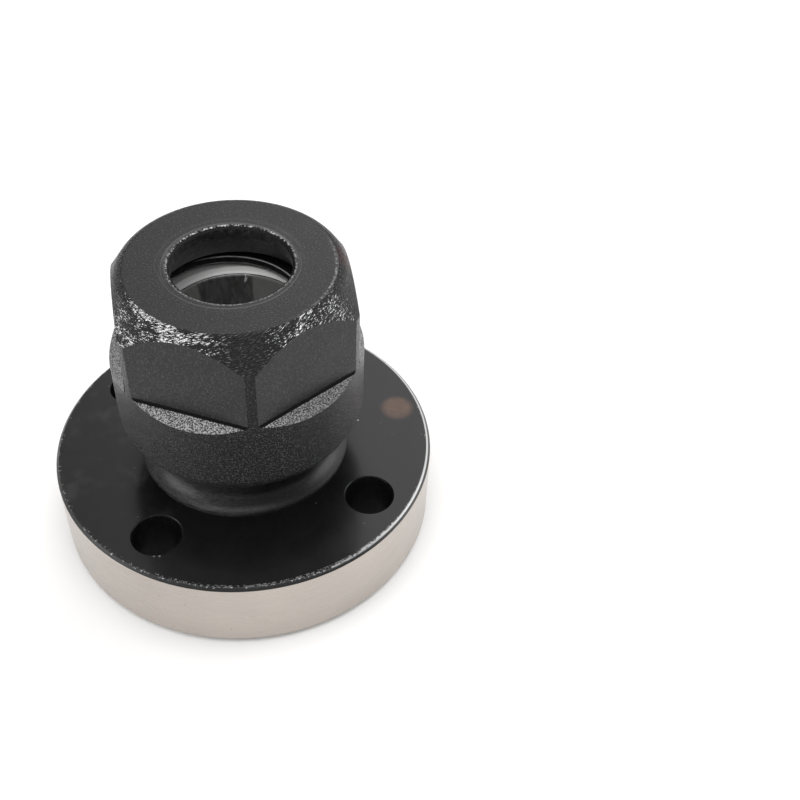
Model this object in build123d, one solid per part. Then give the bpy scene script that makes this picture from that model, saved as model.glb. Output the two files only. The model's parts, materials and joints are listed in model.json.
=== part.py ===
from build123d import *
import math
import os

# Collet chuck holder: a turned chuck body with a bolt-on flange, and the hexagon
# clamping nut screwed on its nose. Millimetres, +Z up along the turning axis.
# The origin is the centre of the flange's back face.

# Flange
flange_dia = 44.0
flange_thick = 9.8
flange_back_chamfer = 0.8
flange_front_chamfer = 0.35

# Four screw holes in the flange
bolt_circle_dia = 34.0
bolt_hole_dia = 5.5
bolt_count = 4
bolt_turn = 45.0
bolt_front_chamfer = 0.4
bolt_back_chamfer = 0.2

# Register recess and stepped bore, cut from the back
register_dia = 21.6
register_depth = 4.2
register_lead = 0.3
undercut_dia = 22.5
undercut_width = 1.2
relief_dia = 14.5
relief_depth = 3.4
relief_chamfer = 0.6
throat_dia = 12.8
throat_length = 2.6
throat_chamfer = 0.35

# Nose: neck with a swept foot, then the thread that carries the nut
nose_length = 19.0
neck_dia = 20.5
neck_length = 7.7
foot_dia = 24.1
foot_radius = 2.4
thread_dia = 21.9
thread_chamfer = 0.8

# Collet pocket in the nose
taper_mouth_dia = 16.0
taper_half_angle = 8.0
taper_lead = 0.3

# Clamping nut, outside
nut_dia = 27.7
nut_length = 19.7
nut_across_flats = 24.5
nut_turn = 26.7
collar_height = 9.35
ledge_angle = 30.0
nut_foot_drop = 1.2
nut_foot_inset = 0.6
cone_height = 3.4
cone_half_angle = 33.5
face_round = 1.3

# Clamping nut, inside
thread_clearance = 0.07
nut_lead_chamfer = 0.6
nut_face_gap = 0.6
front_hole_dia = 12.6
front_hole_chamfer = 0.35
front_land = 1.34
seat_half_angle = 30.0
seat_dia = 16.6
groove_dia = 19.0
groove_width = 0.9
lip_hole_dia = 16.6
lip_thick = 0.9
lip_offset = 1.1
lip_direction = -30.0

# Levels along the axis
nose_front = flange_thick + nose_length
relief_floor = register_depth + relief_depth
taper_end = relief_floor + throat_length
taper_small_dia = taper_mouth_dia - 2 * (nose_front - taper_end) * math.tan(math.radians(taper_half_angle))
seat_depth = (seat_dia - front_hole_dia) / 2 / math.tan(math.radians(seat_half_angle))
nut_ceiling = nose_front + nut_face_gap
groove_floor = nut_ceiling + lip_thick
seat_floor = groove_floor + groove_width
nut_front = seat_floor + seat_depth + front_land
nut_back = nut_front - nut_length


def turned(section):
    """Turns a half section in the XZ plane about the axis."""
    return revolve(section, axis=Axis.Z)


def disc(diameter, low, high):
    """A cylinder on the axis between two levels."""
    return Pos(0, 0, low) * Cylinder(diameter / 2, high - low, align=(Align.CENTER, Align.CENTER, Align.MIN))


def half_section(*points):
    """A closed half section from (diameter, level) corners."""
    corners = [(diameter / 2, level) for diameter, level in points]
    return make_face(Plane.XZ * Polyline(*corners, close=True))


def rings(solid, diameter, level):
    """The round edges of one diameter at one level."""
    found = solid.edges().filter_by(GeomType.CIRCLE)
    found = found.filter_by(lambda edge: abs(edge.radius - diameter / 2) < 1e-4)
    return found.filter_by(lambda edge: abs(edge.center().Z - level) < 1e-4)


def flange_disc():
    """The flange with its broken edges."""
    disc_blank = disc(flange_dia, 0, flange_thick)
    disc_blank = chamfer(rings(disc_blank, flange_dia, 0), flange_back_chamfer)
    return chamfer(rings(disc_blank, flange_dia, flange_thick), flange_front_chamfer)


def neck_foot():
    """The swept foot where the neck runs into the flange: a hollow quarter round, cut off by the foot ring."""
    reach = (foot_dia - neck_dia) / 2
    radius = max(foot_radius, reach)
    rise = math.sqrt(radius**2 - (radius - reach) ** 2)
    centre_x = neck_dia / 2 + radius
    top = flange_thick + rise
    low_angle = math.atan2(-rise, reach - radius)
    mid_angle = (low_angle % (2 * math.pi) + math.pi) / 2
    middle = (centre_x + radius * math.cos(mid_angle), top + radius * math.sin(mid_angle))
    sweep = Plane.XZ * ThreePointArc((foot_dia / 2, flange_thick), middle, (neck_dia / 2, top))
    rest = Plane.XZ * Polyline((neck_dia / 2, top), (0, top), (0, flange_thick), (foot_dia / 2, flange_thick))
    return turned(make_face([sweep, rest]))


def nose():
    """The neck and the thread's cylinder, with a lead at both ends of the thread."""
    step = (thread_dia - neck_dia) / 2
    thread_start = flange_thick + neck_length
    return turned(
        half_section(
            (0, flange_thick),
            (neck_dia, flange_thick),
            (neck_dia, thread_start),
            (thread_dia, thread_start + step),
            (thread_dia, nose_front - thread_chamfer),
            (thread_dia - 2 * thread_chamfer, nose_front),
            (0, nose_front),
        )
    )


def rear_bore():
    """The register recess with its undercut, the relief and the throat behind the taper."""
    recess = disc(register_dia, 0, register_depth)
    lead = Cone(register_dia / 2 + register_lead, register_dia / 2, register_lead,
                align=(Align.CENTER, Align.CENTER, Align.MIN))
    undercut = disc(undercut_dia, register_depth - undercut_width, register_depth)
    relief = disc(relief_dia, register_depth, relief_floor)
    throat = disc(throat_dia, relief_floor, taper_end)
    return recess + lead + undercut + relief + throat


def collet_pocket():
    """The 8 degree pocket that closes the collet, with a broken mouth."""
    return turned(
        half_section(
            (0, taper_end),
            (taper_small_dia, taper_end),
            (taper_mouth_dia, nose_front),
            (0, nose_front),
        )
    )


def mouth_lead():
    """The small lead at the pocket's mouth."""
    wide = taper_mouth_dia / 2 + taper_lead
    cone = Cone(wide - 2 * taper_lead, wide, 2 * taper_lead, align=(Align.CENTER, Align.CENTER, Align.MAX))
    return Pos(0, 0, nose_front) * cone


def bolt_hole():
    """One screw hole with its two countersinks, on the axis."""
    wide_front = bolt_hole_dia + 2 * bolt_front_chamfer
    wide_back = bolt_hole_dia + 2 * bolt_back_chamfer
    return turned(
        half_section(
            (0, 0),
            (wide_back, 0),
            (bolt_hole_dia, bolt_back_chamfer),
            (bolt_hole_dia, flange_thick - bolt_front_chamfer),
            (wide_front, flange_thick),
            (0, flange_thick),
        )
    )


def chuck_body():
    """Flange, neck, threaded nose and bores: one turned piece."""
    body = flange_disc() + neck_foot() + nose()
    body -= rear_bore()
    body = chamfer(rings(body, relief_dia, register_depth), min(relief_chamfer, relief_depth / 2))
    body = chamfer(rings(body, throat_dia, relief_floor), min(throat_chamfer, throat_length / 2))
    body -= collet_pocket() + mouth_lead()
    for spot in PolarLocations(bolt_circle_dia / 2, bolt_count, start_angle=bolt_turn):
        body -= spot * bolt_hole()
    return body


def nut_blank():
    """The round blank of the nut: broken foot, straight wall, steep cone and a rounded edge to the face."""
    shoulder = nut_front - cone_height
    face_dia = nut_dia - 2 * cone_height * math.tan(math.radians(cone_half_angle))
    blank = turned(
        half_section(
            (0, nut_back),
            (nut_dia - 2 * nut_foot_inset, nut_back),
            (nut_dia, nut_back + nut_foot_drop),
            (nut_dia, shoulder),
            (face_dia, nut_front),
            (0, nut_front),
        )
    )
    return fillet(rings(blank, face_dia, nut_front), face_round)


def flat_cut():
    """What one spanner flat takes off the blank, down to a ledge that falls outwards."""
    flat = nut_across_flats / 2
    foot = nut_back + collar_height
    reach = nut_dia / 2 + 1 - flat
    drop = reach * math.tan(math.radians(ledge_angle))
    side = make_face(
        Plane.XZ
        * Polyline(
            (flat, foot), (flat + reach, foot - drop), (flat + reach, nut_front + 1), (flat, nut_front + 1), close=True
        )
    )
    return extrude(side, amount=nut_dia / 2, both=True)


def nut_bore():
    """The nut's inside: thread cylinder, collet groove, steep seat and front hole."""
    nut_thread_dia = thread_dia + 2 * thread_clearance
    lead_dia = nut_thread_dia + 2 * nut_lead_chamfer
    front_wide = front_hole_dia + 2 * front_hole_chamfer
    thread = turned(
        half_section(
            (0, nut_back),
            (lead_dia, nut_back),
            (nut_thread_dia, nut_back + nut_lead_chamfer),
            (nut_thread_dia, nut_ceiling),
            (0, nut_ceiling),
        )
    )
    seat = turned(
        half_section(
            (0, groove_floor),
            (groove_dia, groove_floor),
            (groove_dia, seat_floor),
            (seat_dia, seat_floor),
            (front_hole_dia, seat_floor + seat_depth),
            (front_hole_dia, nut_front - front_hole_chamfer),
            (front_wide, nut_front),
            (0, nut_front),
        )
    )
    return thread + seat + lip_hole()


def lip_hole():
    """The off-centre hole that leaves the lip which pulls the collet out."""
    away = math.radians(lip_direction + 180)
    shift = Pos(lip_offset * math.cos(away), lip_offset * math.sin(away), 0)
    return shift * disc(lip_hole_dia, nut_ceiling, groove_floor)


def clamping_nut():
    """The nut: six flats, their ledges and the stepped inside."""
    nut = nut_blank()
    for index in range(6):
        nut -= Rot(0, 0, nut_turn + 30 + 60 * index) * flat_cut()
    return nut - nut_bore()


os.makedirs("parts", exist_ok=True)
for name, shape in (("chuck_body", chuck_body()), ("clamping_nut", clamping_nut())):
    shape.label = name
    export_step(shape, "parts/" + name + ".step")
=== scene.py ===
import json
import math
from types import SimpleNamespace

import bmesh
import bpy
from bpy.props import FloatProperty, FloatVectorProperty, IntProperty, PointerProperty
from bpy.types import Operator, Panel, PropertyGroup
from mathutils import Matrix, Vector


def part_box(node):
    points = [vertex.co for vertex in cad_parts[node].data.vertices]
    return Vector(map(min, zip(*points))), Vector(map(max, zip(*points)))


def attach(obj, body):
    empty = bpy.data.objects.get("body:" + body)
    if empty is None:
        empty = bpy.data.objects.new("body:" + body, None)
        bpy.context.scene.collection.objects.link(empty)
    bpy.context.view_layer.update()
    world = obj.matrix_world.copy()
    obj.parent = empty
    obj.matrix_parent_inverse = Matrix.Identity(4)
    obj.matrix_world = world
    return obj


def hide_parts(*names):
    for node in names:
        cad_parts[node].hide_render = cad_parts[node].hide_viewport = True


bl_info = {
    "name": "Collet chuck holder",
    "version": (1, 0, 0),
    "blender": (4, 5, 0),
    "location": "View3D > Sidebar > Collet chuck",
    "description": "Models the turned chuck body and its clamping nut on the packed frame",
    "category": "Object",
}

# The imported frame, and the sizes that it gives
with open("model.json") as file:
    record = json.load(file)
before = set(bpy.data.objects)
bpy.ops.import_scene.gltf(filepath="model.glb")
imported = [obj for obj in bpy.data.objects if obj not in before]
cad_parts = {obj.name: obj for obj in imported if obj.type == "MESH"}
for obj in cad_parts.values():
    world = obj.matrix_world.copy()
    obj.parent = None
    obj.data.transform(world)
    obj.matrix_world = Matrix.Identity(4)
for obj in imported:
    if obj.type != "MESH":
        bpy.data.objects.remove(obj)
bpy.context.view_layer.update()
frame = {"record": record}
body_low, body_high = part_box("chuck_body")
nut_low, nut_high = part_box("clamping_nut")
mount_sizes = {mount["name"]: mount["dims"] for mount in frame["record"]["mounts"]}

MM = 0.001

# Fineness of the meshes: steps of a full turn, and the longest facet of a rounded corner in millimetres
TURN_STEPS = 256
HOLE_STEPS = 96
THREAD_STEPS = 96
ARC_FACET = 0.15
MERGE_GAP = 1e-5
CUT_GAP = 2e-3
SMOOTH_ANGLE = math.radians(32)

# The threading tool: half the width of its flat tip in millimetres, and the slope of its flanks
TIP_HALF = 0.17
FLANK_SLOPE = math.tan(math.radians(30))

# How tool marks repeat, in waves for each radian and millimetre: around, outwards, upwards
RIM_LAY = (0.4, 6.0, 6.0)
BACK_LAY = (55.0, 0.25, 1.0)
CONE_LAY = (38.0, 8.0, 8.0)

# Where the marks lie, seen from above: places in millimetres, directions in degrees from +X towards +Y
BROWN_SPOT = (18.9, 0.75)
RED_TINGE = (12.0, -1.2)
NICKS = ((-12.66, -14.84), (-21.3, -3.6), (-12.1, -15.0), (13.7, -0.2))
SCRATCH_TURN = 72.5

# Wear along the flange's front corner: width, direction, spread, and the grain level where it starts
# away from that direction and how far that level falls towards it
CORNER_LINE = (0.17, -15.0, 80.0, 0.57, 0.35)
CORNER_CHIPS = (0.36, -80.0, 62.0, 0.62, 0.13)


def framed(size, words):
    """A length setting in metres, which the frame gives."""
    return FloatProperty(description=words, default=size, min=0.0, precision=5, unit="LENGTH")


def mounted(mount, key, words):
    """A length setting that one of the frame's mounts gives."""
    return framed(mount_sizes[mount][key] * MM, words)


def length(size, words):
    """A length setting, given in millimetres."""
    return framed(size * MM, words)


def number(value, words):
    """A plain number setting."""
    return FloatProperty(description=words, default=value, min=0.0)


def angle(degrees, words):
    """An angle setting, given in degrees."""
    return FloatProperty(description=words, default=math.radians(degrees), subtype="ANGLE")


def colour(value, words):
    """A colour setting."""
    return FloatVectorProperty(description=words, default=value, subtype="COLOR", size=3, min=0.0, max=1.0)


def labelled(group):
    """Labels each setting of a group with its own name."""
    for name, setting in group.__annotations__.items():
        setting.keywords["name"] = name.replace("_", " ").capitalize()
    return group


@labelled
class ChuckBodySizes(PropertyGroup):
    """The turned body: flange, neck, threaded nose and bores."""

    flange_radius: framed(body_high.x, "Outside of the flange")
    flange_thick: length(9.8, "Back face to black face")
    back_bevel: length(0.8, "Bevel between the back face and the ground rim")
    front_bevel: length(0.35, "Broken edge between the rim and the black face")
    foot_radius: length(12.05, "Ring where the neck's sweep meets the flange")
    foot_sweep: length(2.4, "Radius of the hollow sweep at the neck's foot")
    neck_radius: length(10.25, "Plain neck between flange and thread")
    neck_length: length(7.7, "Flange face to the start of the thread")
    thread_radius: length(10.95, "Outside of the thread")
    thread_lead: length(0.8, "Lead at the nose's end")
    thread_pitch: length(1.5, "One turn of the right-hand thread")
    thread_depth: length(0.68, "Depth of the thread's groove")
    nose_front: framed(body_high.z, "Level of the nose's ground front ring")
    pocket_radius: mounted("collet_pocket", "r_mm", "Mouth of the taper")
    pocket_angle: angle(8.0, "Half angle of the taper")
    pocket_length: mounted("collet_pocket", "length_mm", "Depth of the taper")
    mouth_reach: length(0.8, "How far the pocket's broken mouth reaches outwards")
    mouth_slope: angle(36.0, "Fall of the broken mouth towards the taper")
    mouth_round: length(0.6, "Rounding where the broken mouth meets the taper")
    throat_radius: length(6.4, "Plain bore behind the taper")
    throat_floor: length(7.6, "Level where the throat opens into the relief")
    throat_round: length(0.45, "Rounded mouth of the throat")
    relief_radius: length(7.25, "Bore under the register recess")
    relief_round: length(0.8, "Rounded mouth of the relief")
    register_radius: mounted("rear_register", "r_mm", "Recess in the back face")
    register_depth: length(4.2, "Depth of the recess")
    register_lead: length(0.3, "Lead into the recess")
    undercut_radius: length(11.25, "Groove at the recess's foot")
    undercut_width: length(1.2, "Width of that groove")
    hole_circle: framed(mount_sizes["flange_screws"]["pcd_mm"] / 2 * MM, "Its radius")
    hole_radius: mounted("flange_screws", "hole_r_mm", "Radius of a screw hole")
    hole_front_bevel: length(0.12, "Countersink at the black face")
    hole_back_bevel: length(0.2, "Countersink at the back face")
    hole_turn: angle(45.0, "Direction of the first hole")
    hole_count: IntProperty(description="Screw holes on the circle", default=4, min=1)
    edge_round: length(0.07, "Rounding left on each machined edge")


@labelled
class ClampingNutSizes(PropertyGroup):
    """The clamping nut: collar, six flats, cone, face and stepped inside."""

    nut_radius: framed(nut_high.x, "Round blank of the nut")
    back: framed(nut_low.z, "Level of the nut's back")
    front: framed(nut_high.z, "Level of the nut's flat face")
    flat_reach: length(12.25, "Axis to a spanner flat")
    hexagon_turn: angle(26.7, "Direction of the first corner")
    collar_height: length(9.35, "Back to the foot of the flats")
    ledge_angle: angle(30.0, "Fall of the ledges under the flats")
    foot_drop: length(1.2, "Height of the broken edge at the back")
    foot_inset: length(0.6, "Depth of the broken edge at the back")
    cone_height: length(3.4, "Height of the steep cone")
    cone_angle: angle(33.5, "Half angle of the cone")
    face_round: length(1.3, "Rounded edge between cone and face")
    bore_radius: length(11.02, "Inside of the thread")
    bore_lead: length(0.6, "Lead into the thread")
    thread_pitch: length(1.5, "One turn of the right-hand thread")
    thread_depth: length(0.5, "Depth of the thread's groove")
    ceiling: length(29.4, "Level where the thread's bore ends")
    lip_thick: length(0.9, "Thickness of the extraction lip")
    lip_radius: length(8.3, "Radius of the off-centre hole in the lip")
    lip_offset: length(1.1, "How far that hole is off centre")
    lip_direction: angle(-30.0, "Where the lip stands furthest in")
    groove_radius: length(9.5, "Collet groove in front of the lip")
    groove_width: length(0.9, "Width of that groove")
    seat_radius: length(8.3, "Wide end of the steep seat")
    seat_angle: angle(30.0, "Half angle of the seat")
    hole_radius: mounted("tool_hole", "r_mm", "Front hole")
    hole_bevel: length(0.35, "Bevel at the front hole's mouth")
    edge_round: length(0.07, "Rounding left on each machined edge")
    cutter_nose: length(0.22, "Hollow left where a flat meets its ledge")


@labelled
class FinishColours(PropertyGroup):
    """Colours of the steel and its oxide."""

    # Ground steel of the flange's rim; its warm tint is partly a painted reflection of something warm.
    ground_steel: colour((0.51, 0.463, 0.422), "The flange's rim")
    back_steel: colour((0.62, 0.6, 0.58), "The clean back face")
    pit: colour((0.16, 0.14, 0.12), "Tiny pits in the ground steel")
    bare_steel: colour((0.5, 0.5, 0.5), "The pocket's taper")
    # Painted reflection: the pocket's two lighter patches stand in for the nut's opening reflected in the
    # ground taper.
    patch: colour((0.3, 0.3, 0.29), "Stained patches in the pocket")
    scratch: colour((0.95, 0.95, 0.95), "The white scratch in the pocket")
    # Near-white bare steel for the nose's front ring and the lip edges: faced steel brightened into a painted
    # reflection and glint.
    ring_marks: colour((0.8, 0.8, 0.79), "Darker tool marks of the nose's front ring")
    faced_steel_and_reflection: colour((0.95, 0.95, 0.94), "The nose's front ring, and the rubbed lip edges")
    oxide: colour((0.006, 0.006, 0.0065), "Blackened surfaces")
    # Used both for oxide rubbed thin on grain tops and for painted sheen and highlights on the neck, collar
    # and face.
    worn_oxide_and_sheen: colour((0.16, 0.16, 0.17), "Oxide rubbed thin on edges and grain tops")
    bright_steel: colour((0.5, 0.5, 0.5), "Bare metal where the oxide is gone")
    # Whiter than bare steel, so the cone's flecks also carry a painted glint.
    fleck: colour((0.85, 0.85, 0.86), "Bright flecks on the cone")
    lip: colour((0.02, 0.02, 0.02), "The lip's edges where the oxide is left")
    rust: colour((0.11, 0.062, 0.042), "The brown spot on the flange face")
    tinge: colour((0.05, 0.012, 0.012), "The faint red tinge on the cone")


@labelled
class StudioSettings(PropertyGroup):
    """Camera, floor and lights."""

    camera_azimuth: angle(-18.03, "Turn of the camera about the axis")
    camera_height: angle(44.58, "Elevation of the camera")
    camera_roll: angle(3.15, "Roll of the camera")
    camera_distance: length(138.44, "From the origin, along the line of sight")
    camera_right: length(18.74, "Shift of the eye to the right")
    camera_up: length(11.54, "Shift of the eye upwards")
    focal_length: number(49.62, "Lens, in millimetres")
    sensor_width: number(36.0, "Width of the picture behind the lens, in millimetres")
    floor_radius: number(4.0, "Size of the floor, in metres")
    floor_colour: colour((0.93, 0.93, 0.93), "Plain pale floor")
    overhead_power: number(2.6, "Power in watts")
    side_power: number(0.8, "Power in watts")
    room_glow: number(0.45, "Even glow of the room")
    window_glow: number(1.5, "Soft glow from the right rear")
    window_from: number(0.72, "Where the window's glow starts, as a cosine from its middle")
    window_full: number(0.95, "Where it is full, as a cosine from its middle")


def millimetres(group):
    """The sizes of one group, with its lengths in millimetres, which the pieces are modelled in."""
    sizes = SimpleNamespace()
    for name, rule in group.bl_rna.properties.items():
        if name not in ("rna_type", "name"):
            value = getattr(group, name)
            setattr(sizes, name, value / MM if rule.unit == "LENGTH" else value)
    return sizes


def clear_selection():
    """Leaves nothing selected, in object mode."""
    if bpy.context.mode != "OBJECT":
        bpy.ops.object.mode_set(mode="OBJECT")
    bpy.ops.object.select_all(action="DESELECT")


def take(piece):
    """Makes one piece the selected and active one."""
    clear_selection()
    piece.select_set(True)
    bpy.context.view_layer.objects.active = piece


def pick(piece, kind, chooses):
    """Selects the points, edges or faces that the rule chooses, in edit mode."""
    bpy.ops.mesh.select_mode(type=kind)
    bpy.ops.mesh.select_all(action="DESELECT")
    bm = bmesh.from_edit_mesh(piece.data)
    for part in {"VERT": bm.verts, "EDGE": bm.edges, "FACE": bm.faces}[kind]:
        if chooses(part):
            part.select_set(True)
    bmesh.update_edit_mesh(piece.data)


def rounded(corners):
    """A closed outline from (radius, level, round) corners, with an arc in place of each rounded corner."""
    outline = []
    for index, (radius, level, size) in enumerate(corners):
        here = Vector((radius, level))
        before = Vector(corners[index - 1][:2]) - here
        after = Vector(corners[(index + 1) % len(corners)][:2]) - here
        half = before.angle(after) / 2
        if size <= 0 or half > math.radians(89):
            outline.append(here)
            continue
        reach = min(size / math.tan(half), 0.45 * before.length, 0.45 * after.length)
        fitted = reach * math.tan(half)
        centre = here + (before.normalized() + after.normalized()).normalized() * fitted / math.sin(half)
        first = (here + before.normalized() * reach - centre).normalized()
        last = (here + after.normalized() * reach - centre).normalized()
        steps = max(4, math.ceil(fitted / ARC_FACET))
        for step in range(steps + 1):
            outline.append(centre + first.slerp(last, step / steps) * fitted)
    return outline


def arc(centre, radius, start, end, facets):
    """Points along an arc, with no rounding of their own."""
    points = []
    for step in range(facets + 1):
        turn = start + (end - start) * step / facets
        points.append((centre[0] + radius * math.cos(turn), centre[1] + radius * math.sin(turn), 0.0))
    return points


def added(name):
    """The object that was just added, under its name."""
    piece = bpy.context.object
    piece.name = piece.data.name = name
    return piece


def draw(name, outline):
    """A new object with a closed outline in the plane through the axis, drawn by pulling one point along."""
    clear_selection()
    bpy.ops.mesh.primitive_plane_add(size=1)
    piece = added(name)
    bpy.ops.object.mode_set(mode="EDIT")
    bpy.ops.mesh.select_mode(type="VERT")
    bpy.ops.mesh.merge(type="COLLAPSE")
    here = Vector((0, 0, 0))
    for index, point in enumerate(outline):
        there = Vector((point[0], 0, point[1]))
        if index == 0:
            bpy.ops.transform.translate(value=there)
        else:
            bpy.ops.mesh.extrude_vertices_move(TRANSFORM_OT_translate={"value": there - here})
        here = there
    pick(piece, "VERT", lambda vert: len(vert.link_edges) == 1)
    bpy.ops.mesh.edge_face_add()
    return piece


def turn(piece, steps=TURN_STEPS):
    """Turns the drawn outline about the axis into a closed body."""
    bpy.ops.mesh.select_all(action="SELECT")
    bpy.ops.mesh.spin(steps=steps, angle=math.tau, center=(0, 0, 0), axis=(0, 0, 1))
    close_mesh()
    return piece


def close_points(gap):
    """Merges the points that lie closer together than the gap."""
    bpy.ops.mesh.select_mode(type="VERT")
    bpy.ops.mesh.select_all(action="SELECT")
    bpy.ops.mesh.remove_doubles(threshold=gap)


def close_mesh():
    """Merges doubled points and turns the faces outwards."""
    close_points(MERGE_GAP)
    bpy.ops.mesh.normals_make_consistent(inside=False)
    bpy.ops.object.mode_set(mode="OBJECT")


def edit(piece):
    """Opens one piece in edit mode."""
    take(piece)
    bpy.ops.object.mode_set(mode="EDIT")


def apply_to(piece, modifier):
    """Applies one modifier."""
    take(piece)
    bpy.ops.object.modifier_apply(modifier=modifier.name)


def cut(piece, cutter):
    """Takes a cutter's shape off the piece."""
    modifier = piece.modifiers.new("cut", "BOOLEAN")
    modifier.operation = "DIFFERENCE"
    modifier.solver = "EXACT"
    modifier.object = cutter
    apply_to(piece, modifier)


def close_cuts(piece):
    """Merges the points that the cuts have left double."""
    edit(piece)
    close_points(CUT_GAP)
    bpy.ops.mesh.dissolve_degenerate(threshold=1e-4)
    bpy.ops.object.mode_set(mode="OBJECT")


def discard(cutter):
    """Removes a cutter that has done its work."""
    mesh = cutter.data
    bpy.data.objects.remove(cutter)
    bpy.data.meshes.remove(mesh)


def thread_tool(crest_radius, root_radius, pitch, low, high):
    """The helical shape that a threading tool takes away: a truncated V swept up the axis."""
    mouth_half = TIP_HALF + abs(crest_radius - root_radius) * FLANK_SLOPE
    spare = 0.15 if crest_radius > root_radius else -0.15
    mouth_radius = crest_radius + spare
    mouth_half += abs(spare) * FLANK_SLOPE
    outline = [
        (root_radius, low - TIP_HALF),
        (root_radius, low + TIP_HALF),
        (mouth_radius, low + mouth_half),
        (mouth_radius, low - mouth_half),
    ]
    tool = draw("thread_tool", outline)
    bpy.ops.object.mode_set(mode="OBJECT")
    sweep = tool.modifiers.new("sweep", "SCREW")
    sweep.axis = "Z"
    sweep.screw_offset = pitch
    sweep.iterations = math.ceil((high - low) / pitch)
    sweep.steps = sweep.render_steps = THREAD_STEPS
    sweep.use_merge_vertices = False
    apply_to(tool, sweep)
    bpy.ops.object.mode_set(mode="EDIT")
    bpy.ops.mesh.select_all(action="SELECT")
    bpy.ops.mesh.fill_holes(sides=8)
    close_mesh()
    return tool


def finish_shading(piece):
    """Shrinks the piece to metres and shades it smooth between its sharp edges, with the flats kept flat."""
    take(piece)
    piece.scale = (MM, MM, MM)
    bpy.ops.object.transform_apply()
    bpy.ops.object.shade_smooth_by_angle(angle=SMOOTH_ANGLE)
    weighted = piece.modifiers.new("flat faces stay flat", "WEIGHTED_NORMAL")
    weighted.keep_sharp = True
    apply_to(piece, weighted)


def body_section(size):
    """The body's closed section: outside from the back face to the nose, then the bores back down."""
    edge = size.edge_round
    face = size.flange_thick
    reach = size.foot_radius - size.neck_radius
    rise = math.sqrt(size.foot_sweep**2 - (size.foot_sweep - reach) ** 2)
    foot_centre = (size.neck_radius + size.foot_sweep, face + rise)
    foot_start = math.atan2(-rise, reach - size.foot_sweep) % math.tau
    thread_start = face + size.neck_length
    step = size.thread_radius - size.neck_radius
    front = size.nose_front
    pocket_slope = math.tan(size.pocket_angle)
    mouth_drop = size.mouth_reach / (1 / math.tan(size.mouth_slope) - pocket_slope)
    taper_end = front - size.pocket_length
    taper_small = size.pocket_radius - size.pocket_length * pocket_slope
    undercut_low = size.register_depth - size.undercut_width
    corners = [
        (size.register_radius + size.register_lead, 0, edge),
        (size.flange_radius - size.back_bevel, 0, edge),
        (size.flange_radius, size.back_bevel, edge),
        (size.flange_radius, face - size.front_bevel, edge),
        (size.flange_radius - size.front_bevel, face, edge),
    ]
    corners += arc(foot_centre, size.foot_sweep, foot_start, math.pi, 10)
    corners += [
        (size.neck_radius, thread_start, edge),
        (size.thread_radius, thread_start + step, edge),
        (size.thread_radius, front - size.thread_lead, edge),
        (size.thread_radius - size.thread_lead, front, edge),
        (size.pocket_radius + size.mouth_reach, front, edge),
        (size.pocket_radius - mouth_drop * pocket_slope, front - mouth_drop, size.mouth_round),
        (taper_small, taper_end, edge),
        (size.throat_radius, taper_end, 0),
        (size.throat_radius, size.throat_floor, size.throat_round),
        (size.relief_radius, size.throat_floor, 0),
        (size.relief_radius, size.register_depth, size.relief_round),
        (size.undercut_radius, size.register_depth, 0.15),
        (size.undercut_radius, undercut_low, 0.15),
        (size.register_radius, undercut_low, edge),
        (size.register_radius, size.register_lead, edge),
    ]
    return rounded(corners)


def hole_tool(size):
    """The shape of one screw hole with both countersinks, drawn on the axis and set on the hole circle."""
    over = 0.5
    edge = size.edge_round
    face = size.flange_thick
    corners = [
        (0, -over, 0),
        (size.hole_radius + size.hole_back_bevel + over, -over, 0),
        (size.hole_radius, size.hole_back_bevel, edge),
        (size.hole_radius, face - size.hole_front_bevel, edge),
        (size.hole_radius + size.hole_front_bevel + over, face + over, 0),
        (0, face + over, 0),
    ]
    return turn(draw("hole_tool", rounded(corners)), HOLE_STEPS)


def nut_section(size):
    """The nut's closed section: outside from the back to the flat face, then the inside back down."""
    edge = size.edge_round
    shoulder = size.front - size.cone_height
    face_radius = size.nut_radius - size.cone_height * math.tan(size.cone_angle)
    groove_floor = size.ceiling + size.lip_thick
    seat_floor = groove_floor + size.groove_width
    seat_top = seat_floor + (size.seat_radius - size.hole_radius) / math.tan(size.seat_angle)
    blank_lip = size.lip_radius - size.lip_offset - 0.4
    ledge_drop = (size.nut_radius - size.flat_reach) * math.tan(size.ledge_angle)
    under_ledges = size.back + size.collar_height - ledge_drop - 0.2
    return rounded(
        [
            (size.bore_radius + size.bore_lead, size.back, edge),
            (size.nut_radius - size.foot_inset, size.back, edge),
            (size.nut_radius, size.back + size.foot_drop, 3 * edge),
            (size.nut_radius, under_ledges, 0),
            (size.nut_radius, shoulder, edge),
            (face_radius, size.front, size.face_round),
            (size.hole_radius + size.hole_bevel, size.front, edge),
            (size.hole_radius, size.front - size.hole_bevel, edge),
            (size.hole_radius, seat_top, edge),
            (size.seat_radius, seat_floor, edge),
            (size.groove_radius, seat_floor, 0),
            (size.groove_radius, groove_floor, 0),
            (blank_lip, groove_floor, 0),
            (blank_lip, size.ceiling, 0),
            (size.bore_radius, size.ceiling, 0.2),
            (size.bore_radius, size.back + size.bore_lead, edge),
        ]
    )


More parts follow.
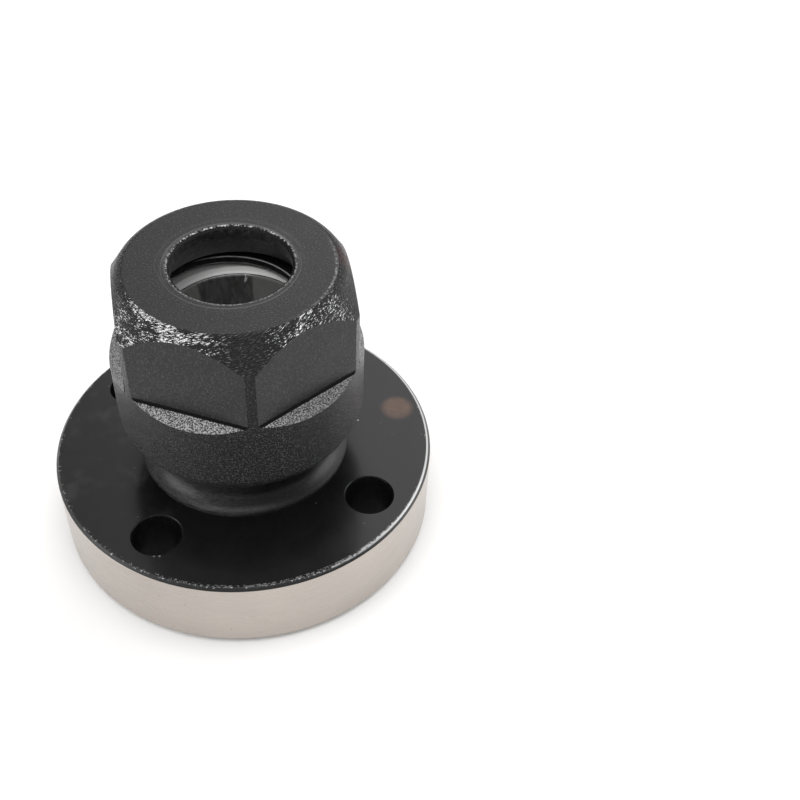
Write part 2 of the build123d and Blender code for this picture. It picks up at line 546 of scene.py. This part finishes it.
def flat_tool(size):
    """The block that a milling cutter takes away at one flat, with a foot that falls outwards."""
    depth = size.nut_radius + 1 - size.flat_reach
    foot = size.back + size.collar_height
    top = size.front + 1
    clear_selection()
    bpy.ops.mesh.primitive_cube_add(size=1, location=(size.flat_reach + depth / 2, 0, (foot + top) / 2))
    tool = added("flat_tool")
    tool.scale = (depth, 2 * size.nut_radius, top - foot)
    bpy.ops.object.transform_apply()
    bpy.ops.object.mode_set(mode="EDIT")
    low = foot + 0.1
    middle = size.flat_reach + depth / 2
    pick(tool, "VERT", lambda vert: vert.co.z < low and vert.co.x > middle)
    bpy.ops.transform.translate(value=(0, 0, -depth * math.tan(size.ledge_angle)))
    pick(tool, "EDGE", lambda edge: all(vert.co.z < low and vert.co.x < middle for vert in edge.verts))
    bpy.ops.mesh.bevel(offset=size.cutter_nose, segments=4, affect="EDGES")
    bpy.ops.mesh.select_mode(type="VERT")
    bpy.ops.object.mode_set(mode="OBJECT")
    return tool


def lip_middle(size):
    """The axis of the off-centre hole, seen from above."""
    away = size.lip_direction + math.pi
    return Vector((size.lip_offset * math.cos(away), size.lip_offset * math.sin(away)))


def lip_tool(size):
    """The off-centre disc that leaves the extraction lip."""
    middle = (*lip_middle(size), size.ceiling + size.lip_thick / 2)
    clear_selection()
    bpy.ops.mesh.primitive_cylinder_add(
        vertices=TURN_STEPS, radius=size.lip_radius, depth=size.lip_thick + 0.6, location=middle
    )
    tool = added("lip_tool")
    bpy.ops.object.transform_apply()
    return tool


class FinishBench:
    """Lays out the shader nodes of one finish. Lengths in its patterns are in millimetres."""

    def __init__(self, name):
        self.material = bpy.data.materials.new(name)
        self.material.use_nodes = True
        self.tree = self.material.node_tree
        self.tree.nodes.clear()
        output = self.node("OutputMaterial")
        self.shader = self.node("BsdfPrincipled")
        self.join(output.inputs["Surface"], self.shader.outputs["BSDF"])
        spot = self.node("TexCoord").outputs["Object"]
        self.place = self.vector("SCALE", spot, scale=1000.0)
        across, along, self.level = self.node("SeparateXYZ", self.place).outputs
        self.seen_from_above = self.node("CombineXYZ", across, along).outputs[0]
        self.radius = self.vector("LENGTH", self.seen_from_above)
        self.direction = self.vector("NORMALIZE", self.seen_from_above)

    def node(self, kind, *values, **sockets):
        """A new shader node, with its sockets set or linked in order or by name."""
        node = self.tree.nodes.new("ShaderNode" + kind)
        for index, value in enumerate(values):
            self.join(node.inputs[index], value)
        self.fill(node, sockets)
        return node

    def fill(self, node, sockets):
        """Sets or links a node's sockets by name."""
        for name, value in sockets.items():
            self.join(node.inputs[name.replace("_", " ")], value)

    def join(self, socket, value):
        """Links a socket, or sets it to a plain value."""
        if isinstance(value, bpy.types.NodeSocket):
            self.tree.links.new(value, socket)
        elif socket.type == "RGBA":
            socket.default_value = (*value, 1.0)
        else:
            socket.default_value = value

    def vector(self, operation, first, second=None, scale=None):
        """One vector sum; gives the number for a length."""
        node = self.node("VectorMath", first)
        node.operation = operation
        if second is not None:
            self.join(node.inputs[1], second)
        if scale is not None:
            self.join(node.inputs["Scale"], scale)
        return node.outputs["Value" if operation in ("LENGTH", "DISTANCE", "DOT_PRODUCT") else "Vector"]

    def sum(self, operation, first, second=0.0, clamp=False):
        """One sum, such as ADD, of two numbers."""
        node = self.node("Math", first, second)
        node.operation = operation
        node.use_clamp = clamp
        return node.outputs[0]

    def times(self, first, *factors, clamp=False):
        """The product of some numbers, kept between 0 and 1 if it's clamped."""
        for factor in factors:
            first = self.sum("MULTIPLY", first, factor, clamp)
        return first

    def minus(self, first, second):
        """The difference of two numbers."""
        return self.sum("SUBTRACT", first, second)

    def most(self, first, second):
        """The larger of two numbers."""
        return self.sum("MAXIMUM", first, second)

    def step(self, value, low, high, start=0.0, end=1.0):
        """Goes smoothly from start to end as the value goes from low to high."""
        node = self.node("MapRange", value, low, high, start, end)
        node.interpolation_type = "SMOOTHSTEP"
        return node.outputs[0]

    def near(self, value, target, width):
        """One where the value is at the target, falling to nothing a width away."""
        gap = self.sum("ABSOLUTE", self.minus(value, target))
        return self.step(gap, 0.0, width, 1.0, 0.0)

    def noise(self, scale, detail=3.0, roughness=0.6, place=None):
        """Even noise, with its scale in waves for each millimetre."""
        place = self.place if place is None else place
        return self.node("TexNoise", place, Scale=scale, Detail=detail, Roughness=roughness).outputs["Fac"]

    def cells(self, scale):
        """Distance to the middle of scattered cells."""
        return self.node("TexVoronoi", self.place, Scale=scale).outputs["Distance"]

    def turned(self, around, outwards, upwards):
        """Places stretched round the axis, so that a noise on them looks like tool marks."""
        ring = self.vector("SCALE", self.direction, scale=around)
        outwards, upwards = self.times(self.radius, outwards), self.times(self.level, upwards)
        return self.vector("ADD", ring, self.node("CombineXYZ", outwards, 0.0, upwards).outputs[0])

    def spot(self, across, along, reach, soft):
        """One inside a round spot seen from above, fading at its edge."""
        gap = self.vector("DISTANCE", self.seen_from_above, (across, along, 0.0))
        return self.step(gap, reach - soft, reach + soft, 1.0, 0.0)

    def towards(self, degrees, spread):
        """One on the side of the axis that faces a direction, falling to nothing a spread away from it."""
        turned_by = math.radians(degrees)
        facing = self.vector("DOT_PRODUCT", self.direction, (math.cos(turned_by), math.sin(turned_by), 0.0))
        return self.step(facing, math.cos(math.radians(spread)), 1.0)

    def mix(self, factor, first, second):
        """A colour between two."""
        node = self.node("Mix", factor)
        node.data_type = "RGBA"
        self.join(node.inputs[6], first)
        self.join(node.inputs[7], second)
        return node.outputs[2]

    def beside(self, degrees):
        """Distance to the side of the line that runs up the piece in a direction."""
        across = math.radians(degrees + 90)
        aside = self.vector("DOT_PRODUCT", self.direction, (math.cos(across), math.sin(across), 0.0))
        return self.times(aside, self.radius)

    def paint(self, mask, colour):
        """Lays a colour over the finish where the mask is one."""
        self.shade = self.mix(mask, self.shade, colour)

    def bump(self, height, depth):
        """A relief of the given depth in millimetres."""
        return self.node("Bump", Strength=1.0, Distance=depth * MM, Height=height).outputs[0]

    def set(self, **sockets):
        """Fills in the shader and gives the finished material."""
        self.fill(self.shader, sockets)
        return self.material


def oxide_finish(name, colours, grain=5.0, depth=0.01, rough=0.34, worn=0.0, worn_from=0.56, tone=1.0,
                 uneven=0.5, shine=0.55, stretch=None):
    """Black oxide over machined steel: fine grain with uneven gloss, and grain tops rubbed lighter."""
    bench = FinishBench(name)
    place = bench.place if stretch is None else bench.turned(*stretch)
    bench.fine = bench.noise(grain, 3.0, 0.65, place)
    cloud = bench.noise(0.3, 2.0, 0.5)
    dark = tuple(part * tone * (1 - uneven) for part in colours.oxide)
    light = tuple(part * tone * (1 + uneven) for part in colours.oxide)
    bench.shade = bench.mix(bench.step(bench.fine, 0.35, 0.65), dark, light)
    tops = bench.step(bench.fine, worn_from, worn_from + 0.1)
    bench.paint(bench.times(tops, worn), colours.worn_oxide_and_sheen)
    bench.gloss = bench.step(cloud, 0.3, 0.7, rough - 0.03, rough + 0.03)
    bench.metal = 0.0
    bench.relief = bench.bump(bench.fine, depth)
    bench.shader.inputs["Specular IOR Level"].default_value = shine
    return bench


def bare(bench, mask, steel):
    """Lets bare steel show through the oxide where the mask is one."""
    bench.paint(mask, steel)
    bench.metal = mask
    return bench


def rub_flange_edge(bench, corner, wear):
    """Worn flecks along the flange's front corner, closest together on the side that faces one direction."""
    width, facing, spread, rare, gain = wear
    line = bench.near(bench.radius, corner - 0.02, width)
    flecks = bench.noise(3.0, 3.0, 0.7)
    reach = bench.minus(rare, bench.times(bench.towards(facing, spread), gain))
    shown = bench.times(bench.minus(flecks, reach), 10.0, clamp=True)
    return bench.times(bench.times(line, 2.0, clamp=True), shown)


def coat(bench):
    """Joins the finish to its shader."""
    return bench.set(Base_Color=bench.shade, Metallic=bench.metal, Roughness=bench.gloss, Normal=bench.relief)


def ground_finish(name, steel, pit, lay, depth, contrast):
    """Ground steel: clean metal with fine lay and tiny pits."""
    bench = FinishBench(name)
    marks = bench.noise(1.0, 5.0, 0.7, bench.turned(*lay))
    cloud = bench.noise(0.12, 2.0, 0.5)
    pits = bench.step(bench.cells(0.55), 0.035, 0.07, 1.0, 0.0)
    bench.shade = bench.mix(bench.step(cloud, 0.3, 0.7), steel, tuple(part * 0.94 for part in steel))
    bench.paint(bench.step(marks, 0.3, 0.75, 0.0, contrast), tuple(part * 0.8 for part in steel))
    bench.paint(bench.times(pits, 0.6), pit)
    gloss = bench.step(marks, 0.3, 0.7, 0.25, 0.36)
    return bench.set(Base_Color=bench.shade, Metallic=1.0, Roughness=gloss, Normal=bench.bump(marks, depth))


def assign(piece, material, chooses):
    """Gives a finish to the faces that the rule chooses by radius, level and how far they face up."""

    def chosen(face):
        middle = face.calc_center_median()
        return chooses(middle.to_2d().length, middle.z, face.normal.z)

    piece.data.materials.append(material)
    piece.active_material_index = len(piece.data.materials) - 1
    edit(piece)
    pick(piece, "FACE", chosen)
    bpy.ops.object.material_slot_assign()
    bpy.ops.object.mode_set(mode="OBJECT")


class DRESS_OT_chuck_body(Operator):
    """Turns the chuck body, drills its flange, cuts its thread and gives each face its finish"""

    bl_idname = "dress.chuck_body"
    bl_label = "Chuck body"

    def execute(self, context):
        size = millimetres(context.scene.chuck_body_sizes)
        colours = context.scene.chuck_colours
        body = turn(draw("turned_chuck_body", body_section(size)))
        drill = hole_tool(size)
        for index in range(size.hole_count):
            turned_by = size.hole_turn + math.tau * index / size.hole_count
            across, along = math.cos(turned_by), math.sin(turned_by)
            drill.location = (size.hole_circle * across, size.hole_circle * along, 0)
            cut(body, drill)
        discard(drill)
        thread_low = size.flange_thick + size.neck_length - size.thread_pitch / 2
        thread_high = size.nose_front + size.thread_pitch
        root = size.thread_radius - size.thread_depth
        tool = thread_tool(size.thread_radius, root, size.thread_pitch, thread_low, thread_high)
        cut(body, tool)
        discard(tool)
        close_cuts(body)
        self.finish(body, size, colours)
        finish_shading(body)
        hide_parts("chuck_body")
        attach(body, "chuck")
        return {"FINISHED"}

    def finish(self, body, size, colours):
        """Gives each zone of the body its own finish."""
        face = size.flange_thick
        rim = size.flange_radius - size.front_bevel
        under_bevel = face - size.front_bevel + 0.02
        foot = size.foot_radius
        front = size.nose_front
        assign(body, self.blackened_bores(size, colours), lambda radius, level, up: True)
        neck = self.blackened_neck(colours)
        assign(body, neck, lambda radius, level, up: level > face + 0.01 and radius > size.neck_radius - 0.9)
        rim_steel = ground_finish("ground_rim", colours.ground_steel, colours.pit, RIM_LAY, 0.0002, 0.03)
        assign(body, rim_steel, lambda radius, level, up: radius > rim - 0.1 and level < under_bevel)
        back_steel = ground_finish("ground_back", colours.back_steel, colours.pit, BACK_LAY, 0.003, 0.35)
        assign(body, back_steel, lambda radius, level, up: up < -0.6 and level < 0.05)
        top = self.flange_face(colours, rim)
        assign(body, top, lambda radius, level, up: up > 0.95 and abs(level - face) < 0.01 and radius > foot)
        edge = oxide_finish("worn_flange_edge", colours, depth=0.03, rough=0.35)
        edge = coat(bare(edge, rub_flange_edge(edge, rim, CORNER_LINE), colours.bright_steel))
        assign(body, edge, lambda radius, level, up: radius > rim - 0.02 and level > under_bevel)
        ring = self.front_ring(colours)
        mouth = size.pocket_radius + size.mouth_reach + 0.1
        assign(body, ring, lambda radius, level, up: level > front - (0.5 if radius < mouth else 0.05))
        bore = size.pocket_radius + 0.05
        throat = front - size.pocket_length + 0.1
        taper = self.ground_taper(colours)
        assign(body, taper, lambda radius, level, up: radius < bore and throat < level < front - 0.5)

    def blackened_neck(self, colours):
        """The neck and the thread: black, with painted sheen at the left, broken into tool-mark streaks, and
        a duller front.
        """
        bench = oxide_finish("blackened_neck", colours, depth=0.02, rough=0.3, worn=0.03, worn_from=0.52)
        streaks = bench.noise(1.0, 3.0, 0.7, bench.turned(14.0, 7.0, 7.0))
        # Painted sheen: lighter streaks on the side that faces the left front.
        painted_sheen = bench.times(bench.towards(-140.0, 55.0), bench.step(streaks, 0.35, 0.65, 0.03, 0.26))
        bench.paint(painted_sheen, colours.worn_oxide_and_sheen)
        dulled = bench.times(bench.towards(-88.0, 42.0), 0.17)
        bench.set(Specular_IOR_Level=bench.minus(0.45, dulled))
        return coat(bench)

    def blackened_bores(self, size, colours):
        """The dull black of the holes and the recess, with bright flecks on two inner edges."""
        bench = oxide_finish("blackened_bores", colours, worn=0.1, shine=0.25)
        flecks = bench.noise(2.5, 3.0, 0.7)
        edge = bench.near(bench.level, size.register_depth - size.undercut_width, 0.14)
        edge = bench.times(edge, bench.near(bench.radius, size.register_radius + 0.2, 0.6))
        edge = bench.times(edge, 2.0, clamp=True)
        mouth = bench.near(bench.radius, size.relief_radius + 0.3, 0.6)
        mouth = bench.times(mouth, bench.near(bench.level, size.register_depth + 0.2, 0.6))
        rubbed = bench.times(edge, bench.step(flecks, 0.46, 0.56))
        rubbed = bench.most(rubbed, bench.times(mouth, bench.step(flecks, 0.5, 0.8, 0.0, 0.4)))
        return coat(bare(bench, rubbed, colours.bright_steel))

    def flange_face(self, colours, corner):
        """The flange's smooth black face, with its brown spot, a few light specks and nicks."""
        bench = oxide_finish(
            "blackened_flange_face", colours, grain=2.0, depth=0.0015, rough=0.2, uneven=0.1, shine=0.51
        )
        cloudy = bench.step(bench.noise(0.35, 3.0, 0.6), 0.5, 0.75)
        bench.paint(bench.times(bench.towards(180.0, 75.0), cloudy, 0.09), colours.worn_oxide_and_sheen)
        stain = bench.spot(*BROWN_SPOT, 1.8, 0.5)
        blotch = bench.step(bench.noise(1.2, 3.0, 0.6), 0.3, 0.7, 0.75, 1.0)
        bench.paint(bench.times(stain, blotch), colours.rust)
        specks = bench.step(bench.cells(0.42), 0.02, 0.05, 1.0, 0.0)
        bench.paint(bench.times(specks, 0.4), colours.worn_oxide_and_sheen)
        nicks = rub_flange_edge(bench, corner, CORNER_LINE)
        nicks = bench.most(nicks, rub_flange_edge(bench, corner, CORNER_CHIPS))
        for across, along in NICKS:
            nicks = bench.most(nicks, bench.spot(across, along, 0.09, 0.07))
        return coat(bare(bench, nicks, colours.bright_steel))

    def ground_taper(self, colours):
        """The pocket's ground taper: dull grey, with two lighter patches of painted reflection and one white
        scratch.
        """
        bench = FinishBench("ground_taper")
        lay = bench.noise(1.0, 4.0, 0.6, bench.turned(12.0, 0.5, 0.5))
        dull = tuple(part * 0.55 for part in colours.bare_steel)
        bench.shade = bench.mix(bench.step(lay, 0.3, 0.7), dull, colours.bare_steel)
        # Painted reflection: two lighter, duller patches where the glossy taper would reflect the nut's
        # opening.
        patches = bench.most(bench.towards(125.0, 14.0), bench.towards(52.0, 17.0))
        patches = bench.times(patches, 3.0, clamp=True)
        patches = bench.times(patches, bench.step(bench.noise(2.5, 4.0, 0.7), 0.3, 0.6, 0.55, 1.0))
        bench.paint(patches, colours.patch)
        wobble = bench.times(bench.minus(bench.noise(1.6, 2.0, 0.6), 0.5), 0.9)
        scratch = bench.near(bench.sum("ADD", bench.beside(SCRATCH_TURN), wobble), 0.0, 0.12)
        scratch = bench.times(scratch, bench.towards(SCRATCH_TURN, 20.0), bench.step(bench.level, 27.2, 27.5))
        scratch = bench.times(scratch, 3.0, clamp=True)
        bench.paint(scratch, colours.scratch)
        metal = bench.step(bench.most(patches, scratch), 0.0, 1.0, 0.85, 0.2)
        gloss = bench.step(patches, 0.0, 1.0, 0.35, 0.5)
        relief = bench.bump(lay, 0.001)
        return bench.set(Base_Color=bench.shade, Metallic=metal, Roughness=gloss, Normal=relief)

    def front_ring(self, colours):
        """The bare, finely faced front ring of the nose, half matt and near white, a painted reflection so
        that it looks light from all sides.
        """
        bench = FinishBench("faced_nose_ring")
        marks = bench.noise(1.0, 3.0, 0.6, bench.turned(0.5, 12.0, 12.0))
        shade = bench.mix(bench.step(marks, 0.3, 0.7), colours.ring_marks, colours.faced_steel_and_reflection)
        return bench.set(Base_Color=shade, Metallic=0.25, Roughness=0.42, Normal=bench.bump(marks, 0.004))


class DRESS_OT_clamping_nut(Operator):
    """Turns the nut blank, mills its flats, cuts its thread and lip, and gives each face its finish"""

    bl_idname = "dress.clamping_nut"
    bl_label = "Clamping nut"

    def execute(self, context):
        size = millimetres(context.scene.clamping_nut_sizes)
        colours = context.scene.chuck_colours
        nut = turn(draw("hexagon_clamping_nut", nut_section(size)))
        mill = flat_tool(size)
        for index in range(6):
            mill.rotation_euler.z = size.hexagon_turn + math.pi / 6 + math.pi / 3 * index
            cut(nut, mill)
        discard(mill)
        boring_tool = lip_tool(size)
        cut(nut, boring_tool)
        discard(boring_tool)
        self.break_lip_edges(nut, size)
        thread_low = size.back - size.thread_pitch
        thread_high = size.ceiling - 1.6 * size.thread_pitch
        root = size.bore_radius + size.thread_depth
        tool = thread_tool(size.bore_radius, root, size.thread_pitch, thread_low, thread_high)
        cut(nut, tool)
        discard(tool)
        close_cuts(nut)
        self.finish(nut, size, colours)
        finish_shading(nut)
        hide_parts("clamping_nut")
        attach(nut, "nut")
        return {"FINISHED"}

    def finish(self, nut, size, colours):
        """Gives each zone of the nut its own finish."""
        shoulder = size.front - size.cone_height
        outside = size.flat_reach - 0.2
        blank = size.nut_radius - 0.03
        front = size.front
        foot = size.back + size.collar_height
        lip_back = size.ceiling - 0.1
        lip_front = size.ceiling + size.lip_thick + 0.1
        seat_foot = lip_front + size.groove_width - 0.04
        bright = colours.bright_steel
        inside = coat(oxide_finish("blackened_nut_inside", colours, tone=2.0))
        assign(nut, inside, lambda radius, level, up: True)
        seat = coat(oxide_finish("bored_seat", colours, grain=2.0, rough=0.36, worn=0.3, tone=4.0))
        assign(nut, seat, lambda radius, level, up: radius < size.seat_radius + 0.1 and level > lip_front)
        assign(nut, self.rubbed_and_glinting_edge(colours), lambda radius, level, up: radius < size.groove_radius - 0.2
               and 0.2 < abs(up) < 0.98 and lip_back < level < seat_foot)
        collar = self.blackened_collar(colours)
        assign(nut, collar, lambda radius, level, up: radius > outside and level < shoulder + 0.2)
        flats = oxide_finish("milled_flats", colours, depth=0.0008, rough=0.38, worn=0.19, worn_from=0.52,
                             tone=0.5, shine=0.39)
        assign(nut, coat(flats), lambda radius, level, up: abs(up) < 0.02 and outside < radius < blank
               and level > foot - 0.1)
        # Painted shade: the hollow gets darker, duller oxide than the flats, for the shade in the crease
        # above each ledge.
        hollow = coat(oxide_finish("hollow_under_flats", colours, rough=0.5, tone=0.3, shine=0.1))
        assign(nut, hollow, lambda radius, level, up: 0.02 < up < 0.84 and radius > outside
               and abs(level - foot) < 0.4)
        ledge = oxide_finish("milled_ledges", colours, grain=7.0, depth=0.12, rough=0.33, tone=0.5)
        # Painted shade: fewer bright flecks on the ledges that face the right front, where less light falls.
        shown = ledge.minus(1.0, ledge.times(ledge.towards(-55.0, 40.0), 0.45))
        ledge = coat(bare(ledge, ledge.times(ledge.step(ledge.fine, 0.47, 0.55), shown), bright))
        assign(nut, ledge, lambda radius, level, up: 0.84 < up < 0.9 and radius > outside
               and level < foot + 0.1)
        assign(nut, self.rough_cone(colours), lambda radius, level, up: 0.3 < up < 0.995
               and level > foot + 0.5 and radius > size.groove_radius + 0.3)
        top = self.turned_face(size, colours)
        assign(nut, top, lambda radius, level, up: up > 0.995 and level > front - 0.1)
        rim = size.hole_radius + size.hole_bevel
        mouth = oxide_finish("rubbed_hole_mouth", colours, depth=0.1, rough=0.45, tone=0.5, shine=0.2)
        flecks = mouth.times(mouth.near(mouth.radius, rim, 0.14), 2.0, clamp=True)
        flecks = mouth.times(flecks, mouth.step(mouth.noise(3.5, 3.0, 0.7), 0.48, 0.6))
        assign(nut, coat(bare(mouth, flecks, bright)), lambda radius, level, up: radius < rim + 0.03
               and level > front - size.hole_bevel - 0.1 and up > 0.02)

    def break_lip_edges(self, nut, size):
        """Breaks the sharp edges of the off-centre lip."""
        middle = lip_middle(size)

        def on_lip(vert):
            flat = vert.co.to_2d()
            return (
                abs((flat - middle).length - size.lip_radius) < 0.02
                and flat.length < size.groove_radius - 0.3
                and size.ceiling - 0.01 < vert.co.z < size.ceiling + size.lip_thick + 0.01
            )

        def level_on_lip(edge):
            return all(map(on_lip, edge.verts)) and abs(edge.verts[0].co.z - edge.verts[1].co.z) < 0.01

        edit(nut)
        pick(nut, "EDGE", level_on_lip)
        bpy.ops.mesh.bevel(offset=0.1, segments=2, affect="EDGES")
        bpy.ops.mesh.select_mode(type="VERT")
        bpy.ops.object.mode_set(mode="OBJECT")

    def blackened_collar(self, colours):
        """The collar's fine rough grain, with painted highlights that make it a little lighter at both sides.
        """
        bench = oxide_finish("blackened_collar", colours, grain=5.0, depth=0.3, rough=0.21, worn=0.33,
                             worn_from=0.52, tone=0.4, shine=0.36)
        # Painted highlight: the oxide is lightened at the right side and, less, at the left front.
        painted_sheen = bench.times(bench.towards(-15.0, 50.0), 0.25)
        painted_sheen = bench.most(painted_sheen, bench.times(bench.towards(-150.0, 45.0), 0.1))
        bench.paint(painted_sheen, colours.worn_oxide_and_sheen)
        return coat(bench)

    def rough_cone(self, colours):
        """The cone's coarse turned grain: bright flecks, set denser at both sides as a painted highlight, and
        a faint red tinge.
        """
        bench = oxide_finish("turned_cone", colours, grain=1.0, depth=0.2, rough=0.25, worn=0.35,
                             worn_from=0.53, tone=0.4, shine=0.26, stretch=CONE_LAY)
        bench.paint(bench.times(bench.spot(*RED_TINGE, 1.6, 1.2), 0.5), colours.tinge)
        # Painted highlight: more bright flecks where the cone faces the left front and the right front.
        right = bench.times(bench.towards(-58.0, 34.0), 0.87)
        sides = bench.most(bench.towards(-135.0, 48.0), right)
        streaks = bench.noise(1.0, 2.0, 0.5, bench.turned(5.0, 1.2, 1.2))
        painted_sheen = bench.times(sides, bench.step(streaks, 0.3, 0.6, 0.4, 1.0))
        reach = bench.minus(0.72, bench.times(painted_sheen, 0.26))
        flecks = bench.times(bench.minus(bench.fine, reach), 8.0, clamp=True)
        return coat(bare(bench, flecks, colours.fleck))

    def rubbed_and_glinting_edge(self, colours):
        """The bright lines on the lip's and the seat's edges: oxide rubbed off, brightened into a painted
        glint on one side.
        """
        bench = FinishBench("rubbed_and_glinting_lip_edges")
        streaks = bench.step(bench.noise(0.5, 2.0, 0.5), 0.3, 0.5, 1.0, 3.0)
        # Painted glint: near-white streaks on the side of the lip that faces 35 degrees.
        rubbed = bench.times(bench.towards(35.0, 80.0), streaks, clamp=True)
        shade = bench.mix(rubbed, colours.lip, colours.faced_steel_and_reflection)
        return bench.set(Base_Color=shade, Metallic=0.4, Roughness=0.35, Normal=bench.bump(rubbed, 0.002))

    def turned_face(self, size, colours):
        """The fine grain of the front face, with a painted highlight on turned rings round the hole, rubbed
        bright round the hole and along its right border.
        """
        bench = oxide_finish("turned_nut_face", colours, depth=0.03, rough=0.4, worn=0.3, tone=1.2,
                             shine=0.49)
        flecks = bench.noise(3.5, 3.0, 0.7)
        rings = bench.noise(1.0, 2.0, 0.5, bench.turned(0.6, 5.0, 1.0))
        # Painted highlight: faint lighter turned rings round the hole.
        marks = bench.near(bench.radius, size.hole_radius + 0.8, 1.1)
        bench.paint(bench.times(marks, bench.step(rings, 0.5, 0.62, 0.0, 0.3)), colours.worn_oxide_and_sheen)
        rim = bench.near(bench.radius, size.hole_radius + size.hole_bevel, 0.3)
        border = bench.times(bench.near(bench.radius, 10.85, 0.25), bench.towards(-25.0, 45.0))
        rubbed = bench.times(bench.most(rim, border), bench.step(flecks, 0.45, 0.6))
        return coat(bare(bench, bench.times(rubbed, 0.5), colours.bright_steel))


class DRESS_OT_studio(Operator):
    """Sets up the pale floor, the soft lights and the camera"""

    bl_idname = "dress.studio"
    bl_label = "Studio"

    def execute(self, context):
        studio = context.scene.chuck_studio
        self.add_floor(studio)
        self.add_lights(studio)
        self.add_camera(context, studio)
        context.scene.view_settings.view_transform = "Standard"
        return {"FINISHED"}

    def add_floor(self, studio):
        """A wide round pale floor under the back face."""
        clear_selection()
        bpy.ops.mesh.primitive_circle_add(vertices=128, radius=studio.floor_radius, fill_type="NGON")
        floor = added("floor")
        bench = FinishBench("pale_floor")
        pale = bench.set(Base_Color=studio.floor_colour, Roughness=0.9, Specular_IOR_Level=0.1)
        floor.data.materials.append(pale)

    def add_lights(self, studio):
        """One soft box overhead, one at each side, and the room's glow. Places are in metres."""
        lamps = (
            ("overhead_box", (-0.05, -0.08, 0.6), (0.0, 0.0, 0.0), 0.55, studio.overhead_power),
            ("left_box", (-0.55, -0.05, 0.16), (0.0, 0.0, 0.02), 0.35, studio.side_power),
            ("right_box", (0.55, -0.05, 0.16), (0.0, 0.0, 0.02), 0.35, studio.side_power),
        )
        for name, place, target, width, power in lamps:
            lamp = bpy.data.lights.new(name, "AREA")
            lamp.shape = "SQUARE"
            lamp.size = width
            lamp.energy = power
            box = bpy.data.objects.new(name, lamp)
            box.location = place
            box.rotation_euler = (Vector(target) - Vector(place)).to_track_quat("-Z", "Y").to_euler()
            bpy.context.scene.collection.objects.link(box)
        self.add_glow(studio)

    def add_glow(self, studio):
        """The room's even glow, with a soft window high at the right rear."""
        world = bpy.data.worlds.new("studio")
        bpy.context.scene.world = world
        world.use_nodes = True
        tree = world.node_tree
        tree.nodes.clear()
        output = tree.nodes.new("ShaderNodeOutputWorld")
        background = tree.nodes.new("ShaderNodeBackground")
        ramp = tree.nodes.new("ShaderNodeMapRange")
        facing = tree.nodes.new("ShaderNodeVectorMath")
        facing.operation = "DOT_PRODUCT"
        facing.inputs[1].default_value = (0.58, 0.58, 0.57)
        place = tree.nodes.new("ShaderNodeTexCoord")
        ramp.interpolation_type = "SMOOTHSTEP"
        limits = (studio.window_from, studio.window_full, studio.room_glow, studio.window_glow)
        for socket, limit in zip(("From Min", "From Max", "To Min", "To Max"), limits):
            ramp.inputs[socket].default_value = limit
        background.inputs["Color"].default_value = (1, 1, 1, 1)
        tree.links.new(place.outputs["Generated"], facing.inputs[0])
        tree.links.new(facing.outputs["Value"], ramp.inputs["Value"])
        tree.links.new(ramp.outputs[0], background.inputs["Strength"])
        tree.links.new(background.outputs[0], output.inputs["Surface"])

    def add_camera(self, context, studio):
        """The camera at the viewing angle, looking down on the nut from the front left."""
        turned_by, raised = studio.camera_azimuth, studio.camera_height
        level = math.cos(raised)
        back = Vector((math.sin(turned_by) * level, -math.cos(turned_by) * level, math.sin(raised)))
        level_right = Vector((math.cos(turned_by), math.sin(turned_by), 0))
        level_up = back.cross(level_right)
        right = level_right * math.cos(studio.camera_roll) + level_up * math.sin(studio.camera_roll)
        up = level_up * math.cos(studio.camera_roll) - level_right * math.sin(studio.camera_roll)
        place = back * studio.camera_distance + right * studio.camera_right + up * studio.camera_up
        lens = bpy.data.cameras.new("camera")
        lens.lens = studio.focal_length
        lens.sensor_width = studio.sensor_width
        lens.clip_start = 0.001
        eye = bpy.data.objects.new("camera", lens)
        context.scene.collection.objects.link(eye)
        eye.matrix_world = Matrix((right, up, back)).transposed().to_4x4()
        eye.location = place
        context.scene.camera = eye


class DRESS_PT_panel(Panel):
    """Lists the pieces of the collet chuck holder"""

    bl_label = "Collet chuck holder"
    bl_space_type = "VIEW_3D"
    bl_region_type = "UI"
    bl_category = "Collet chuck"

    def draw(self, context):
        for step in (DRESS_OT_chuck_body, DRESS_OT_clamping_nut, DRESS_OT_studio):
            self.layout.operator(step.bl_idname)


settings = {
    "chuck_body_sizes": ChuckBodySizes,
    "clamping_nut_sizes": ClampingNutSizes,
    "chuck_colours": FinishColours,
    "chuck_studio": StudioSettings,
}
classes = (*settings.values(), DRESS_OT_chuck_body, DRESS_OT_clamping_nut, DRESS_OT_studio, DRESS_PT_panel)


def register():
    """Adds the classes, and the settings to the scene."""
    for item in classes:
        bpy.utils.register_class(item)
    for name, group in settings.items():
        setattr(bpy.types.Scene, name, PointerProperty(type=group))


def unregister():
    """Takes the settings and the classes away."""
    for name in settings:
        delattr(bpy.types.Scene, name)
    for item in reversed(classes):
        bpy.utils.unregister_class(item)


def main():
    """Builds both pieces and the studio."""
    register()
    bpy.ops.dress.chuck_body()
    bpy.ops.dress.clamping_nut()
    bpy.ops.dress.studio()


if __name__ == "__main__":
    main()
